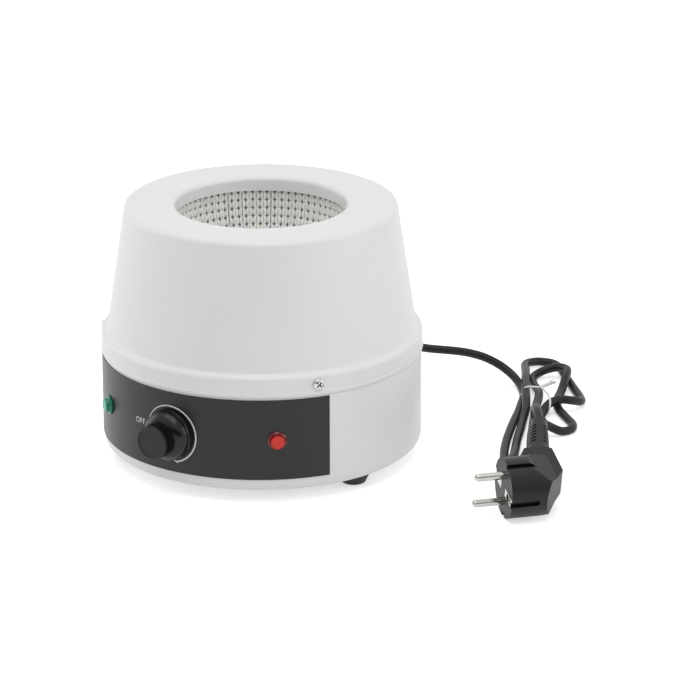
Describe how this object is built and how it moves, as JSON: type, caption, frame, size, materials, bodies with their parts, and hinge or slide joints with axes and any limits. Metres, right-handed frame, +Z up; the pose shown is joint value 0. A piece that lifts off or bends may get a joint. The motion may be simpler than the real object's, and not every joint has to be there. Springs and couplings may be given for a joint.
{
  "type": "heating mantle",
  "caption": "Cone-topped round heating mantle with a woven bowl for a round flask, a dial, two signal lamps and a tied mains cord.",
  "frame": {"origin": "on the body's axis, at the height of the table that the feet stand on", "axes": "+Z up along the body's axis, the knob faces -Y, the cord leaves towards +Y"},
  "size_m": [0.3178, 0.3523, 0.162],
  "materials": {
    "white_powder_coat": "satin",
    "panel_film": "matte",
    "black_plastic": "satin",
    "plated_steel": "satin",
    "green_lens": "gloss",
    "red_lens": "gloss",
    "ivory_plastic": "matte",
    "glass_cloth": "woven",
    "wire_sleeve": "braided",
    "mineral_wool": "fibrous",
    "aluminium_sheet": "satin",
    "brass": "satin",
    "board_laminate": "satin",
    "ceramic": "satin",
    "black_rubber": "matte",
    "black_pvc": "satin",
    "white_tie": "satin",
    "nickel": "bright"
  },
  "bodies": {
    "mantle": {"upper_shell": "white_powder_coat", "base_drum": "white_powder_coat", "control_panel": "panel_film", "pot_body": "plated_steel", "pot_washer": "plated_steel", "pot_nut": "plated_steel", "green_lens": "green_lens", "red_lens": "red_lens", "lamp_bodies": "ivory_plastic", "lamp_clips": "plated_steel", "shell_screws": "plated_steel", "shell_nuts": "plated_steel", "heating_bag": "glass_cloth", "bag_hoop": "plated_steel", "heating_wire": "wire_sleeve", "insulation": "mineral_wool", "inner_pan": "aluminium_sheet", "partition": "aluminium_sheet", "pan_bolt": "plated_steel", "pan_nut": "plated_steel", "circuit_board": "board_laminate", "board_standoffs": "brass", "board_screws": "plated_steel", "heat_sink": "aluminium_sheet", "triac": "black_plastic", "choke": "board_laminate", "board_parts": "board_laminate", "terminal_block": "ceramic", "terminal_clamps": "brass", "earth_screw": "plated_steel", "feet": "black_rubber", "foot_screws": "plated_steel", "foot_nuts": "plated_steel", "strain_relief": "black_pvc", "wires": "wire_sleeve", "power_cord": "black_pvc", "plug_lead": "black_pvc", "cord_hank": "black_pvc", "cord_tie": "white_tie", "plug_body": "black_pvc", "plug_pins": "nickel", "plug_earths": "nickel"},
    "dial": {"knob": "black_plastic", "pot_shaft": "brass"}
  },
  "joints": [
    {"name": "dial_turn", "type": "hinge", "parent": "mantle", "child": "dial", "pos_m": [0, -0.1005, 0.0407], "axis": [0, 1, 0], "range_deg": [0, 240]}
  ]
}
